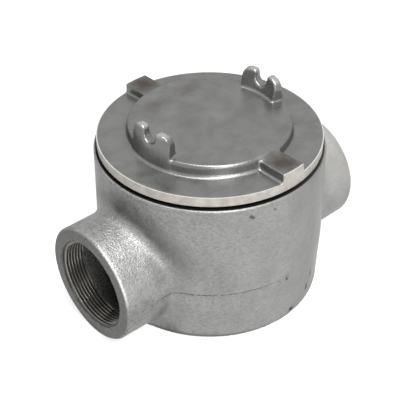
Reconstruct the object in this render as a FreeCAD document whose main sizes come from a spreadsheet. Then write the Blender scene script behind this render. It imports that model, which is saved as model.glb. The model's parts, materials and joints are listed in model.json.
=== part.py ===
"""Threaded round junction box: cast body with two tapped hubs, screw-on cover, seal ring and grounding screw.

The vertical axis of the box is Z, its flat base lies at z = 0, and the two hubs point along -X and +X.
"""
import FreeCAD, Part
import math
import os
import Sketcher

# Driving dimensions, in millimetres and degrees.
SIZES = {
    # Cover thread, seal and the top of the body
    "cover_thread_radius": 63.4,
    "cover_thread_length": 14.0,
    "thread_gap": 0.3,
    "neck_relief": 0.8,
    "neck_runout": 0.2,
    "seal_section": 3.8,
    "seal_gap": 0.3,
    "seal_step_depth": 3.5,
    "land_width": 8.0,
    # Body casting
    "body_height": 106.2,
    "top_draft": 0.9,
    "base_draft": 1.3,
    "body_wall": 9.4,
    "floor_thickness": 9.0,
    "plug_floor_gap": 2.5,
    "chamber_slope": 4.0,
    "top_round": 1.2,
    "base_round": 2.5,
    "floor_round": 8.0,
    # Conduit hubs
    "hub_radius": 39.4,
    "hub_base_gap": 0.5,
    "hub_length": 25.1,
    "hub_thread_radius": 29.2,
    "hub_thread_depth": 17.0,
    "hub_throat_step": 0.9,
    "hub_chamfer": 1.2,
    "hub_blend": 7.0,
    "hub_edge_round": 2.0,
    # Grounding boss and screw
    "ground_offset": 42.0,
    "ground_boss_radius": 7.5,
    "ground_boss_height": 6.0,
    "screw_radius": 2.4,
    "screw_gap": 0.1,
    "screw_length": 9.0,
    "screw_tip_gap": 1.5,
    "screw_washer_radius": 5.6,
    "screw_washer_thickness": 1.0,
    "screw_head_flats": 7.9,
    "screw_head_height": 3.2,
    "screw_slot_width": 1.3,
    "screw_slot_depth": 1.7,
    # Cover casting
    "flange_setback": 2.5,
    "flange_thickness": 6.3,
    "boss_radius": 53.5,
    "boss_height": 8.4,
    "cast_draft": 6.3,
    "boss_edge_round": 1.8,
    "boss_foot_round": 2.6,
    "cover_wall": 9.0,
    "skirt_wall": 8.4,
    "pad_width": 17.6,
    "pad_height": 6.2,
    "pad_foot_round": 1.2,
    "pad_edge_round": 0.8,
    "lug_pair_sweep": 37.2,
    "lug_proud": 0.4,
    "lug_height": 14.3,
    "lug_foot_depth": 9.0,
    "lug_top_depth": 4.5,
    "lug_shoulder": 6.5,
    "lug_foot_round": 1.2,
    "notch_width": 9.6,
    "notch_corner": 2.4,
    "saddle_height": 5.0,
    "saddle_round": 1.6,
    "cover_clock": 2.5,
}

# Dimensions that follow from the driving ones.
DERIVED = {
    "bore_radius": "cover_thread_radius + thread_gap",
    "neck_radius": "cover_thread_radius - neck_relief",
    "seal_radius": "seal_section / 2",
    "seal_ring_radius": "neck_radius + seal_gap + seal_radius",
    "step_radius": "seal_ring_radius + seal_radius + seal_gap",
    "top_radius": "step_radius + land_width",
    "parting_radius": "top_radius + top_draft",
    "chamber_radius": "parting_radius - body_wall",
    "flange_radius": "top_radius - flange_setback",
    "step_floor": "body_height - seal_step_depth",
    "seal_height": "step_floor + seal_gap + seal_radius",
    "flange_bottom": "seal_height + seal_radius + seal_gap",
    "flange_top": "flange_bottom + flange_thickness",
    "neck_bottom": "step_floor - neck_runout",
    "plug_bottom": "neck_bottom - cover_thread_length",
    "thread_bottom": "plug_bottom - plug_floor_gap",
    "chamber_top": "thread_bottom - chamber_slope",
    "cut_top": "body_height + seal_section",
    "hub_axis": "hub_radius + hub_base_gap",
    "hub_mouth": "parting_radius + hub_length",
    "hub_span": "2 * hub_mouth",
    "base_stock": "2 * hub_blend",
    "stock_radius": "parting_radius - base_draft * (hub_axis + base_stock) / hub_axis",
    "trim_radius": "hub_mouth + hub_radius",
    "throat_top": "hub_axis + hub_thread_radius - hub_throat_step",
    "hub_thread_top": "hub_axis + hub_thread_radius",
    "hub_chamfer_top": "hub_thread_top + hub_chamfer",
    "hub_thread_end": "hub_mouth - hub_thread_depth",
    "hub_chamfer_end": "hub_mouth - hub_chamfer",
    "ground_seat": "floor_thickness + ground_boss_height",
    "ground_hole_radius": "screw_radius + screw_gap",
    "ground_hole_depth": "screw_length + screw_tip_gap",
    "screw_head_radius": "screw_head_flats / sqrt(3)",
    "screw_head_top": "screw_washer_thickness + screw_head_height",
    "screw_slot_length": "3 * screw_head_flats",
    "boss_top": "flange_top + boss_height",
    "boss_span": "2 * boss_radius",
    "boss_top_radius": "boss_radius - boss_height * tan(cast_draft)",
    "skirt_inner_radius": "cover_thread_radius - skirt_wall",
    "ceiling": "boss_top - cover_wall",
    "ceiling_radius": "boss_radius - cover_wall",
    "pad_root": "boss_radius - pad_height / 2",
    "pad_half_width": "pad_width / 2",
    "lug_top": "boss_top + lug_height",
    "lug_outer_foot": "boss_radius + lug_proud",
    "lug_outer_top": "lug_outer_foot - (boss_height + lug_height) * tan(cast_draft)",
    "lug_inner_top": "lug_outer_top - lug_top_depth",
    "lug_inner_foot": "boss_radius - lug_foot_depth",
    "saddle_top": "boss_top + saddle_height",
    "notch_radius": "notch_width / 2",
    "notch_centre": "saddle_top + notch_radius",
    "notch_top": "lug_top + notch_radius",
    "pad_top": "flange_top + pad_height",
}

CLOSE = 0.02
FULL_TURN = 360
HEAD_SIDES = 6
LUG_PAIRS = 2
ORIGIN_POINT = (-1, 1)
X_AXIS_CURVE = -1
Y_AXIS_CURVE = -2
START, END, CENTRE = 1, 2, 3

doc = FreeCAD.newDocument("JunctionBox")
sheet = doc.addObject("Spreadsheet::Sheet", "Sizes")


def fill_sheet():
    """Write every dimension to the sheet, with its name as the alias of its cell."""
    row = 1
    for name, value in SIZES.items():
        sheet.set("A%d" % row, name)
        sheet.set("B%d" % row, str(value))
        sheet.setAlias("B%d" % row, name)
        row += 1
    for name, formula in DERIVED.items():
        sheet.set("A%d" % row, name)
        sheet.set("B%d" % row, "=" + formula)
        sheet.setAlias("B%d" % row, name)
        row += 1
    doc.recompute()


def size(name):
    """Value of a named dimension; a leading minus sign gives its negative."""
    if name.startswith("-"):
        return -float(sheet.get(name[1:]))
    return float(sheet.get(name))


def bind(target, prop, name):
    """Tie a property to a named dimension."""
    sign = "-" if name.startswith("-") else ""
    target.setExpression(prop, sign + "Sizes." + name.lstrip("-"))


def new_body(label):
    """Start one sub-part."""
    body = doc.addObject("PartDesign::Body", label)
    body.Label = label
    return body


def origin_feature(body, role):
    """Plane or axis of a body's own origin."""
    return next(item for item in body.Origin.OriginFeatures if item.Role == role)


def new_sketch(body, name, role, lift=None):
    """Sketch on one of the body's origin planes, lifted along its normal by a named dimension."""
    sketch = body.newObject("Sketcher::SketchObject", name)
    sketch.AttachmentSupport = (origin_feature(body, role), [""])
    sketch.MapMode = "FlatFace"
    if lift:
        bind(sketch, "AttachmentOffset.Base.z", lift)
    return sketch


def tie_distance(sketch, kind, curve, point, name):
    """Hold a point of a curve at a named DistanceX or DistanceY from the sketch's origin."""
    if name == "0":
        axis = Y_AXIS_CURVE if kind == "DistanceX" else X_AXIS_CURVE
        sketch.addConstraint(Sketcher.Constraint("PointOnObject", curve, point, axis))
        return
    ends = ORIGIN_POINT + (curve, point)
    if name.startswith("-"):
        ends = (curve, point) + ORIGIN_POINT
    name = name.lstrip("-")
    index = sketch.addConstraint(Sketcher.Constraint(kind, *ends, size(name)))
    bind(sketch, "Constraints[%d]" % index, name)


def tie_point(sketch, curve, point, x, y):
    """Hold a point of a curve at named distances from the sketch's origin."""
    tie_distance(sketch, "DistanceX", curve, point, x)
    tie_distance(sketch, "DistanceY", curve, point, y)


def coordinate(name):
    """Coordinate that a corner's name stands for."""
    return 0.0 if name == "0" else size(name)


def draw_outline(sketch, corners):
    """Closed straight-sided outline through corners given as pairs of dimension names."""
    points = [FreeCAD.Vector(coordinate(x), coordinate(y), 0) for x, y in corners]
    count = len(points)
    for index in range(count):
        sketch.addGeometry(Part.LineSegment(points[index], points[(index + 1) % count]), False)
    for index in range(count):
        following = (index + 1) % count
        sketch.addConstraint(Sketcher.Constraint("Coincident", index, END, following, START))
    for index, (x, y) in enumerate(corners):
        tie_point(sketch, index, START, x, y)


def draw_circle(sketch, x, y, radius):
    """Circle round a centre given by dimension names."""
    centre = FreeCAD.Vector(coordinate(x), coordinate(y), 0)
    curve = sketch.addGeometry(Part.Circle(centre, FreeCAD.Vector(0, 0, 1), size(radius)), False)
    tie_point(sketch, curve, CENTRE, x, y)
    index = sketch.addConstraint(Sketcher.Constraint("Radius", curve, size(radius)))
    bind(sketch, "Constraints[%d]" % index, radius)


def extrude(body, kind, name, sketch, length, symmetric=False):
    """Pad or Pocket of a sketch by a named length."""
    feature = body.newObject("PartDesign::" + kind, name)
    feature.Profile = sketch
    bind(feature, "Length", length)
    if symmetric:
        feature.SideType = "Symmetric"
    doc.recompute()
    return feature


def revolve(body, kind, name, sketch, axis="V_Axis", sweep=None):
    """Revolution or Groove of a sketch: a full turn, or a sector centred on the sketch's own plane."""
    feature = body.newObject("PartDesign::" + kind, name)
    feature.Profile = sketch
    feature.ReferenceAxis = (sketch, [axis])
    feature.Angle = FULL_TURN
    if sweep:
        feature.Midplane = True
        bind(feature, "Angle", sweep)
    doc.recompute()
    return feature


def soften(body, kind, name, base, prop, width, wanted):
    """Fillet or Chamfer of the wanted edges of a feature by a named width."""
    feature = body.newObject("PartDesign::" + kind, name)
    edges = ["Edge%d" % (number + 1) for number, edge in enumerate(base.Shape.Edges) if wanted(edge)]
    feature.Base = (base, edges)
    bind(feature, prop, width)
    doc.recompute()
    return feature


def middle(edge):
    """Point half-way along an edge's parameter range."""
    return edge.valueAt((edge.FirstParameter + edge.LastParameter) / 2)


def is_ring(edge, radius, height):
    """True for an arc or circle about the Z axis with this radius and height."""
    if not isinstance(edge.Curve, Part.Circle):
        return False
    point = middle(edge)
    on_axis = math.hypot(edge.Curve.Center.x, edge.Curve.Center.y) < CLOSE
    return on_axis and abs(edge.Curve.Radius - radius) < CLOSE and abs(point.z - height) < CLOSE


def build_box_body():
    """Casting with two hubs: outside first, then the base trimmed flat, then the bores and the chamber."""
    body = new_body("box_body")
    shell_sketch = new_sketch(body, "ShellProfile", "XZ_Plane")
    draw_outline(shell_sketch, [
        ("0", "-base_stock"), ("stock_radius", "-base_stock"), ("parting_radius", "hub_axis"),
        ("top_radius", "body_height"), ("0", "body_height")])
    revolve(body, "Revolution", "Shell", shell_sketch)

    hub_sketch = new_sketch(body, "HubSection", "YZ_Plane")
    draw_circle(hub_sketch, "0", "hub_axis", "hub_radius")
    hubs = extrude(body, "Pad", "Hubs", hub_sketch, "hub_span", symmetric=True)

    def is_hub_root(edge):
        point = middle(edge)
        from_axis = math.hypot(point.y, point.z - size("hub_axis"))
        straight = isinstance(edge.Curve, Part.Line)
        at_mouth = abs(abs(point.x) - size("hub_mouth")) < CLOSE
        return abs(from_axis - size("hub_radius")) < CLOSE and not straight and not at_mouth

    soften(body, "Fillet", "HubBlend", hubs, "Radius", "hub_blend", is_hub_root)

    trim_sketch = new_sketch(body, "BasePlane", "XY_Plane")
    draw_circle(trim_sketch, "0", "0", "trim_radius")
    base = extrude(body, "Pocket", "FlatBase", trim_sketch, "base_stock")

    def is_base_outline(edge):
        return abs(middle(edge).z) < CLOSE and abs(edge.valueAt(edge.FirstParameter).z) < CLOSE

    footed = soften(body, "Fillet", "BaseEdge", base, "Radius", "base_round", is_base_outline)

    def is_outer_edge(edge):
        return is_ring(edge, size("top_radius"), size("body_height"))

    top = soften(body, "Fillet", "TopEdge", footed, "Radius", "top_round", is_outer_edge)

    def is_hub_mouth(edge):
        point = middle(edge)
        return isinstance(edge.Curve, Part.Circle) and abs(abs(point.x) - size("hub_mouth")) < CLOSE

    soften(body, "Fillet", "HubEdges", top, "Radius", "hub_edge_round", is_hub_mouth)

    chamber_sketch = new_sketch(body, "ChamberProfile", "XZ_Plane")
    draw_outline(chamber_sketch, [
        ("0", "floor_thickness"), ("chamber_radius", "floor_thickness"), ("chamber_radius", "chamber_top"),
        ("bore_radius", "thread_bottom"), ("bore_radius", "step_floor"), ("step_radius", "step_floor"),
        ("step_radius", "cut_top"), ("0", "cut_top")])
    chamber = revolve(body, "Groove", "Chamber", chamber_sketch)

    def is_floor_corner(edge):
        return is_ring(edge, size("chamber_radius"), size("floor_thickness"))

    soften(body, "Fillet", "FloorCorner", chamber, "Radius", "floor_round", is_floor_corner)

    bore_sketch = new_sketch(body, "HubBoreProfile", "XZ_Plane")
    draw_outline(bore_sketch, [
        ("0", "hub_axis"), ("0", "throat_top"), ("hub_thread_end", "throat_top"),
        ("hub_thread_end", "hub_thread_top"), ("hub_chamfer_end", "hub_thread_top"),
        ("hub_mouth", "hub_chamfer_top"), ("hub_mouth", "hub_axis")])
    axis_line = Part.LineSegment(
        FreeCAD.Vector(0, size("hub_axis"), 0), FreeCAD.Vector(size("hub_mouth"), size("hub_axis"), 0))
    axis_curve = bore_sketch.addGeometry(axis_line, True)
    tie_point(bore_sketch, axis_curve, START, "0", "hub_axis")
    tie_point(bore_sketch, axis_curve, END, "hub_mouth", "hub_axis")
    hub_bore = revolve(body, "Groove", "HubBore", bore_sketch, "Axis0")
    far_bore = body.newObject("PartDesign::Mirrored", "FarHubBore")
    far_bore.Originals = [hub_bore]
    far_bore.MirrorPlane = (origin_feature(body, "YZ_Plane"), [""])
    body.Tip = far_bore
    doc.recompute()

    boss_sketch = new_sketch(body, "GroundBossSection", "XY_Plane", "floor_thickness")
    draw_circle(boss_sketch, "0", "-ground_offset", "ground_boss_radius")
    extrude(body, "Pad", "GroundBoss", boss_sketch, "ground_boss_height")
    hole_sketch = new_sketch(body, "GroundHoleSection", "XY_Plane", "ground_seat")
    draw_circle(hole_sketch, "0", "-ground_offset", "ground_hole_radius")
    extrude(body, "Pocket", "GroundHole", hole_sketch, "ground_hole_depth")
    return body


def draw_notch(sketch):
    """Notch outline: upright sides above a half-round floor."""
    half, middle_height, top = size("notch_radius"), size("notch_centre"), size("notch_top")
    corners = [FreeCAD.Vector(half, middle_height, 0), FreeCAD.Vector(half, top, 0),
               FreeCAD.Vector(-half, top, 0), FreeCAD.Vector(-half, middle_height, 0)]
    for start, end in zip(corners, corners[1:]):
        sketch.addGeometry(Part.LineSegment(start, end), False)
    floor = Part.Circle(FreeCAD.Vector(0, middle_height, 0), FreeCAD.Vector(0, 0, 1), half)
    arc = sketch.addGeometry(Part.ArcOfCircle(floor, math.pi, 2 * math.pi), False)
    for first, second in ((0, 1), (1, 2), (2, arc)):
        sketch.addConstraint(Sketcher.Constraint("Coincident", first, END, second, START))
    sketch.addConstraint(Sketcher.Constraint("Coincident", arc, END, 0, START))
    for kind, curve in (("Vertical", 0), ("Horizontal", 1), ("Vertical", 2)):
        sketch.addConstraint(Sketcher.Constraint(kind, curve))
    tie_point(sketch, arc, CENTRE, "0", "notch_centre")
    tie_distance(sketch, "DistanceY", arc, START, "notch_centre")
    tie_distance(sketch, "DistanceY", arc, END, "notch_centre")
    tie_distance(sketch, "DistanceY", 0, END, "notch_top")
    radius = sketch.addConstraint(Sketcher.Constraint("Radius", arc, half))
    bind(sketch, "Constraints[%d]" % radius, "notch_radius")


def draw_notch_corners(sketch):
    """Two corner outlines, one each side of the notch: what a rounding takes off the tops of the lugs."""
    half, round_off, lug_top = size("notch_radius"), size("notch_corner"), size("lug_top")
    for side in (-1, 1):
        corner = FreeCAD.Vector(side * half, lug_top, 0)
        low = FreeCAD.Vector(side * half, lug_top - round_off, 0)
        far = FreeCAD.Vector(side * (half + round_off), lug_top, 0)
        upright = sketch.addGeometry(Part.LineSegment(low, corner), False)
        level = sketch.addGeometry(Part.LineSegment(corner, far), False)
        centre = FreeCAD.Vector(side * (half + round_off), lug_top - round_off, 0)
        ring = Part.Circle(centre, FreeCAD.Vector(0, 0, 1), round_off)
        start_turn = math.pi / 2 if side > 0 else 0
        arc = sketch.addGeometry(Part.ArcOfCircle(ring, start_turn, start_turn + math.pi / 2), False)
        arc_at_far, arc_at_low = (START, END) if side > 0 else (END, START)
        sketch.addConstraint(Sketcher.Constraint("Coincident", upright, END, level, START))
        sketch.addConstraint(Sketcher.Constraint("Tangent", level, END, arc, arc_at_far))
        sketch.addConstraint(Sketcher.Constraint("Tangent", arc, arc_at_low, upright, START))
        sketch.addConstraint(Sketcher.Constraint("Vertical", upright))
        sketch.addConstraint(Sketcher.Constraint("Horizontal", level))
        tie_point(sketch, upright, END, "notch_radius" if side > 0 else "-notch_radius", "lug_top")
        radius = sketch.addConstraint(Sketcher.Constraint("Radius", arc, round_off))
        bind(sketch, "Constraints[%d]" % radius, "notch_corner")


def draw_rim_pad(sketch):
    """Pad outline: straight sides from inside the boss to an arc that is flush with the rim."""
    half, root, reach = size("pad_half_width"), size("pad_root"), size("flange_radius")
    edge = math.sqrt(reach ** 2 - half ** 2)
    corners = [FreeCAD.Vector(-half, edge, 0), FreeCAD.Vector(-half, root, 0),
               FreeCAD.Vector(half, root, 0), FreeCAD.Vector(half, edge, 0)]
    for start, end in zip(corners, corners[1:]):
        sketch.addGeometry(Part.LineSegment(start, end), False)
    rim = Part.Circle(FreeCAD.Vector(0, 0, 0), FreeCAD.Vector(0, 0, 1), reach)
    arc = sketch.addGeometry(Part.ArcOfCircle(rim, math.atan2(edge, half), math.atan2(edge, -half)), False)
    for first, second in ((0, 1), (1, 2), (2, arc)):
        sketch.addConstraint(Sketcher.Constraint("Coincident", first, END, second, START))
    sketch.addConstraint(Sketcher.Constraint("Coincident", arc, END, 0, START))
    sketch.addConstraint(Sketcher.Constraint("Coincident", arc, CENTRE, *ORIGIN_POINT))
    sketch.addConstraint(Sketcher.Constraint("Vertical", 0))
    sketch.addConstraint(Sketcher.Constraint("Vertical", 2))
    radius = sketch.addConstraint(Sketcher.Constraint("Radius", arc, reach))
    bind(sketch, "Constraints[%d]" % radius, "flange_radius")
    tie_point(sketch, 1, START, "-pad_half_width", "pad_root")
    tie_point(sketch, 1, END, "pad_half_width", "pad_root")


def build_screw_cover():
    """Turned flange and hollow plug, with boss, lug pairs and rim pads cast on top."""
    body = new_body("screw_cover")
    disc_sketch = new_sketch(body, "DiscProfile", "XZ_Plane")
    draw_outline(disc_sketch, [
        ("0", "boss_top"), ("boss_top_radius", "boss_top"), ("boss_radius", "flange_top"),
        ("flange_radius", "flange_top"), ("flange_radius", "flange_bottom"), ("neck_radius", "flange_bottom"),
        ("neck_radius", "neck_bottom"), ("cover_thread_radius", "neck_bottom"),
        ("cover_thread_radius", "plug_bottom"), ("skirt_inner_radius", "plug_bottom"),
        ("skirt_inner_radius", "flange_bottom"), ("ceiling_radius", "ceiling"), ("0", "ceiling")])
    disc = revolve(body, "Revolution", "Disc", disc_sketch)

    def is_boss_edge(edge):
        return is_ring(edge, size("boss_top_radius"), size("boss_top"))

    def is_boss_foot(edge):
        return is_ring(edge, size("boss_radius"), size("flange_top"))

    rounded = soften(body, "Fillet", "BossEdge", disc, "Radius", "boss_edge_round", is_boss_edge)
    soften(body, "Fillet", "BossFoot", rounded, "Radius", "boss_foot_round", is_boss_foot)

    lug_sketch = new_sketch(body, "LugProfile", "XZ_Plane")
    draw_outline(lug_sketch, [
        ("lug_inner_foot", "flange_top"), ("lug_outer_foot", "flange_top"), ("lug_outer_top", "lug_top"),
        ("lug_inner_top", "lug_top"), ("lug_inner_foot", "boss_top")])
    lug_pair = revolve(body, "Revolution", "LugPair", lug_sketch, sweep="lug_pair_sweep")
    notch_sketch = new_sketch(body, "NotchSection", "YZ_Plane")
    draw_notch(notch_sketch)
    notch = extrude(body, "Pocket", "WrenchNotch", notch_sketch, "boss_radius")
    notch.Reversed = True

    pad_sketch = new_sketch(body, "RimPadSection", "XY_Plane", "flange_top")
    draw_rim_pad(pad_sketch)
    rim_pad = extrude(body, "Pad", "RimPad", pad_sketch, "pad_height")

    pattern = body.newObject("PartDesign::PolarPattern", "OppositeSide")
    pattern.Originals = [lug_pair, notch, rim_pad]
    pattern.Axis = (origin_feature(body, "Z_Axis"), [""])
    pattern.Angle = FULL_TURN
    pattern.Occurrences = LUG_PAIRS
    body.Tip = pattern
    doc.recompute()

    def is_shoulder(edge):
        point = middle(edge)
        at_top = isinstance(edge.Curve, Part.Line) and abs(point.z - size("lug_top")) < CLOSE
        return at_top and abs(point.y) > size("notch_width")

    shoulders = soften(body, "Fillet", "LugShoulders", pattern, "Radius", "lug_shoulder", is_shoulder)

    def is_saddle_edge(edge):
        point = middle(edge)
        return abs(point.y) < CLOSE and size("boss_top") + CLOSE < point.z < size("saddle_top") + CLOSE

    saddles = soften(body, "Fillet", "SaddleEdges", shoulders, "Radius", "saddle_round", is_saddle_edge)

    def is_pad_foot(edge):
        point = middle(edge)
        at_foot = isinstance(edge.Curve, Part.Line) and abs(point.z - size("flange_top")) < CLOSE
        return at_foot and abs(abs(point.x) - size("pad_half_width")) < CLOSE

    def is_pad_edge(edge):
        point = middle(edge)
        at_top = isinstance(edge.Curve, Part.Line) and abs(point.z - size("pad_top")) < CLOSE
        return at_top and abs(abs(point.x) - size("pad_half_width")) < CLOSE

    pad_edges = soften(body, "Fillet", "PadEdges", saddles, "Radius", "pad_edge_round", is_pad_edge)
    pad_feet = soften(body, "Fillet", "PadFeet", pad_edges, "Radius", "pad_foot_round", is_pad_foot)

    def is_lug_foot(edge):
        return is_ring(edge, size("lug_inner_foot"), size("boss_top"))

    soften(body, "Fillet", "LugFeet", pad_feet, "Radius", "lug_foot_round", is_lug_foot)

    corner_sketch = new_sketch(body, "NotchCornerSection", "YZ_Plane")
    draw_notch_corners(corner_sketch)
    extrude(body, "Pocket", "NotchCorners", corner_sketch, "boss_span", symmetric=True)
    body.Placement = FreeCAD.Placement(
        FreeCAD.Vector(), FreeCAD.Rotation(FreeCAD.Vector(0, 0, 1), size("cover_clock")))
    bind(body, "Placement.Rotation.Angle", "cover_clock")
    return body


def build_cover_o_ring():
    """Round-section ring on the neck of the plug, between flange and step."""
    body = new_body("cover_o_ring")
    ring_sketch = new_sketch(body, "RingSection", "XZ_Plane")
    draw_circle(ring_sketch, "seal_ring_radius", "seal_height", "seal_radius")
    revolve(body, "Revolution", "Ring", ring_sketch)
    return body


def build_ground_screw():
    """Slotted hexagon washer-head screw, drawn with its seat at the body's own origin."""
    body = new_body("ground_screw")
    shank_sketch = new_sketch(body, "ShankSection", "XY_Plane")
    draw_circle(shank_sketch, "0", "0", "screw_radius")
    shank = extrude(body, "Pad", "Shank", shank_sketch, "screw_length")
    shank.Reversed = True
    washer_sketch = new_sketch(body, "WasherSection", "XY_Plane")
    draw_circle(washer_sketch, "0", "0", "screw_washer_radius")
    extrude(body, "Pad", "Washer", washer_sketch, "screw_washer_thickness")

    head_sketch = new_sketch(body, "HeadSection", "XY_Plane", "screw_washer_thickness")
    across = size("screw_head_radius")
    turns = [math.radians(FULL_TURN * step / HEAD_SIDES) for step in range(HEAD_SIDES)]
    corners = [FreeCAD.Vector(across * math.cos(turn), across * math.sin(turn), 0) for turn in turns]
    for index in range(HEAD_SIDES):
        following = (index + 1) % HEAD_SIDES
        head_sketch.addGeometry(Part.LineSegment(corners[index], corners[following]), False)
    guide = Part.Circle(FreeCAD.Vector(0, 0, 0), FreeCAD.Vector(0, 0, 1), across)
    ring = head_sketch.addGeometry(guide, True)
    head_sketch.addConstraint(Sketcher.Constraint("Coincident", ring, CENTRE, *ORIGIN_POINT))
    radius = head_sketch.addConstraint(Sketcher.Constraint("Radius", ring, across))
    bind(head_sketch, "Constraints[%d]" % radius, "screw_head_radius")
    for index in range(HEAD_SIDES):
        following = (index + 1) % HEAD_SIDES
        head_sketch.addConstraint(Sketcher.Constraint("Coincident", index, END, following, START))
        head_sketch.addConstraint(Sketcher.Constraint("PointOnObject", index, START, ring))
    for index in range(1, HEAD_SIDES):
        head_sketch.addConstraint(Sketcher.Constraint("Equal", 0, index))
    head_sketch.addConstraint(Sketcher.Constraint("PointOnObject", 0, START, X_AXIS_CURVE))
    extrude(body, "Pad", "Head", head_sketch, "screw_head_height")

    slot_sketch = new_sketch(body, "SlotSection", "XY_Plane", "screw_head_top")
    slot = [FreeCAD.Vector(x * size("screw_slot_length") / 2, y * size("screw_slot_width") / 2, 0)
            for x, y in ((-1, -1), (1, -1), (1, 1), (-1, 1))]
    for start, end in zip(slot, slot[1:] + slot[:1]):
        slot_sketch.addGeometry(Part.LineSegment(start, end), False)
    for first, second in ((0, 1), (1, 2), (2, 3), (3, 0)):
        slot_sketch.addConstraint(Sketcher.Constraint("Coincident", first, END, second, START))
    for kind, curve in (("Horizontal", 0), ("Vertical", 1), ("Horizontal", 2), ("Vertical", 3)):
        slot_sketch.addConstraint(Sketcher.Constraint(kind, curve))
    slot_sketch.addConstraint(Sketcher.Constraint("Symmetric", 0, START, 2, START, *ORIGIN_POINT))
    for kind, curve, name in (("DistanceX", 0, "screw_slot_length"), ("DistanceY", 1, "screw_slot_width")):
        index = slot_sketch.addConstraint(Sketcher.Constraint(kind, curve, START, curve, END, size(name)))
        bind(slot_sketch, "Constraints[%d]" % index, name)
    extrude(body, "Pocket", "Slot", slot_sketch, "screw_slot_depth")
    bind(body, "Placement.Base.y", "-ground_offset")
    bind(body, "Placement.Base.z", "ground_seat")
    return body


def check_document(bodies):
    """Stop if any object failed or any sub-part is not one valid solid."""
    doc.recompute()
    for item in doc.Objects:
        if "Invalid" in item.State or "Error" in item.State:
            raise RuntimeError("%s failed: %s" % (item.Name, item.State))
    for body in bodies:
        if body.Shape.isNull() or not body.Shape.isValid() or len(body.Shape.Solids) != 1:
            raise RuntimeError("%s is not one valid solid" % body.Label)


fill_sheet()
sub_parts = [build_box_body(), build_screw_cover(), build_cover_o_ring(), build_ground_screw()]
check_document(sub_parts)
os.makedirs("parts", exist_ok=True)
for sub_part in sub_parts:
    sub_part.Shape.exportStep(os.path.join("parts", sub_part.Label + ".step"))
    box = sub_part.Shape.BoundBox
    print("%s volume %.0f, x %.1f to %.1f, y %.1f to %.1f, z %.1f to %.1f" % (
        sub_part.Label, sub_part.Shape.Volume, box.XMin, box.XMax, box.YMin, box.YMax, box.ZMin, box.ZMax))
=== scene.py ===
import json
import math
import random

import bpy
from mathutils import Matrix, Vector


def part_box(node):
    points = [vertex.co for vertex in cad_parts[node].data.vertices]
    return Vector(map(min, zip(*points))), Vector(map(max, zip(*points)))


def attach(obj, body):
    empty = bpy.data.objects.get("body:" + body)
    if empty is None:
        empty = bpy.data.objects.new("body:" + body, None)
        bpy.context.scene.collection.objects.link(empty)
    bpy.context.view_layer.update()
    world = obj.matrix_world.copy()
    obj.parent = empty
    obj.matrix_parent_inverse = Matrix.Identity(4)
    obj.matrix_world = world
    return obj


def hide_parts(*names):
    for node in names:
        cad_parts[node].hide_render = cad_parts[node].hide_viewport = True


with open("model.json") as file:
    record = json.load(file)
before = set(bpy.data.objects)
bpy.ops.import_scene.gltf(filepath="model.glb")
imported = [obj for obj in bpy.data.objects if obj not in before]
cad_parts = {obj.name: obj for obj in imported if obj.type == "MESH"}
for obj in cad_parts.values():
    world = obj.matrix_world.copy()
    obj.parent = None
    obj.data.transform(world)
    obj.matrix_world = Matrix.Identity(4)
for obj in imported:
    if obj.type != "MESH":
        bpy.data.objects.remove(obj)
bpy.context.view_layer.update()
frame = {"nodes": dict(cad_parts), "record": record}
record = frame["record"]

# Box body: one iron casting, zinc plated, a round chamber with a conduit hub on either side.
# The sand mould leaves an uneven skin, a parting line half way up the hubs and a few small blow holes.
# The hub threads, the seal step and the thread for the cover are then cut into it.
mm = 0.001
body_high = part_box("box_body")[1]
hub_mount = next(mount for mount in record["mounts"] if mount["name"] == "right_hub_thread")
hub_axis = hub_mount["pos_m"][2]
hub_mouth = body_high.x
hub_radius = 39.4 * mm
hub_edge = 2.0 * mm
dressed_from = 30.4 * mm
dressed_length = 6.0 * mm
shell_radius = body_high.y
body_top = body_high.z
facing_cut = 1.3 * mm
top_face = body_top - facing_cut
top_draft = 0.9 * mm
base_draft = 1.3 * mm
body_skin_step = 1.65 * mm
skin_weld = 0.001 * mm
skin_smoothing, skin_passes = 0.5, 2
skin_margin = 3.0 * mm
hub_skin_radius = 34.0 * mm
long_wave, long_height = 14.0 * mm, 0.35 * mm
short_wave, short_height = 3.5 * mm, 0.18 * mm
wave_detail = 2


def pick(piece):
    """Select one object alone and make it the active one."""
    bpy.ops.object.select_all(action="DESELECT")
    piece.select_set(True)
    bpy.context.view_layer.objects.active = piece


def finish_with(piece, kind, **settings):
    """Add a modifier with these settings and apply it."""
    pick(piece)
    modifier = piece.modifiers.new(kind.lower(), kind)
    for name, value in settings.items():
        setattr(modifier, name, value)
    bpy.ops.object.modifier_apply(modifier=modifier.name)


def casting_of(node_name, piece_name, skin_step):
    """Copy of a solid with its triangles joined, then laid out again as an even skin."""
    piece = bpy.data.objects.new(piece_name, frame["nodes"][node_name].data.copy())
    bpy.context.collection.objects.link(piece)
    piece.data.materials.clear()
    pick(piece)
    bpy.ops.object.mode_set(mode="EDIT")
    bpy.ops.mesh.select_all(action="SELECT")
    bpy.ops.mesh.remove_doubles(threshold=skin_weld)
    bpy.ops.mesh.customdata_custom_splitnormals_clear()
    bpy.ops.object.mode_set(mode="OBJECT")
    finish_with(piece, "REMESH", mode="VOXEL", voxel_size=skin_step)
    finish_with(piece, "SMOOTH", factor=skin_smoothing, iterations=skin_passes)
    return piece


def weigh(piece, group_name, weight_at):
    """Vertex group whose weights follow from each point's place."""
    group = piece.vertex_groups.new(name=group_name)
    for vertex in piece.data.vertices:
        group.add([vertex.index], weight_at(vertex.co), "REPLACE")
    return group.name


def ripple(piece, group_name, wave_size, height):
    """Raise and sink the skin in waves of this size and height."""
    waves = bpy.data.textures.new("skin_waves", "CLOUDS")
    waves.noise_scale = wave_size
    waves.noise_depth = wave_detail
    finish_with(
        piece, "DISPLACE", texture=waves, texture_coords="LOCAL", vertex_group=group_name, strength=height)


def from_axis(point):
    """Distance of a point from the vertical axis of the box."""
    return math.hypot(point.x, point.y)


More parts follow.
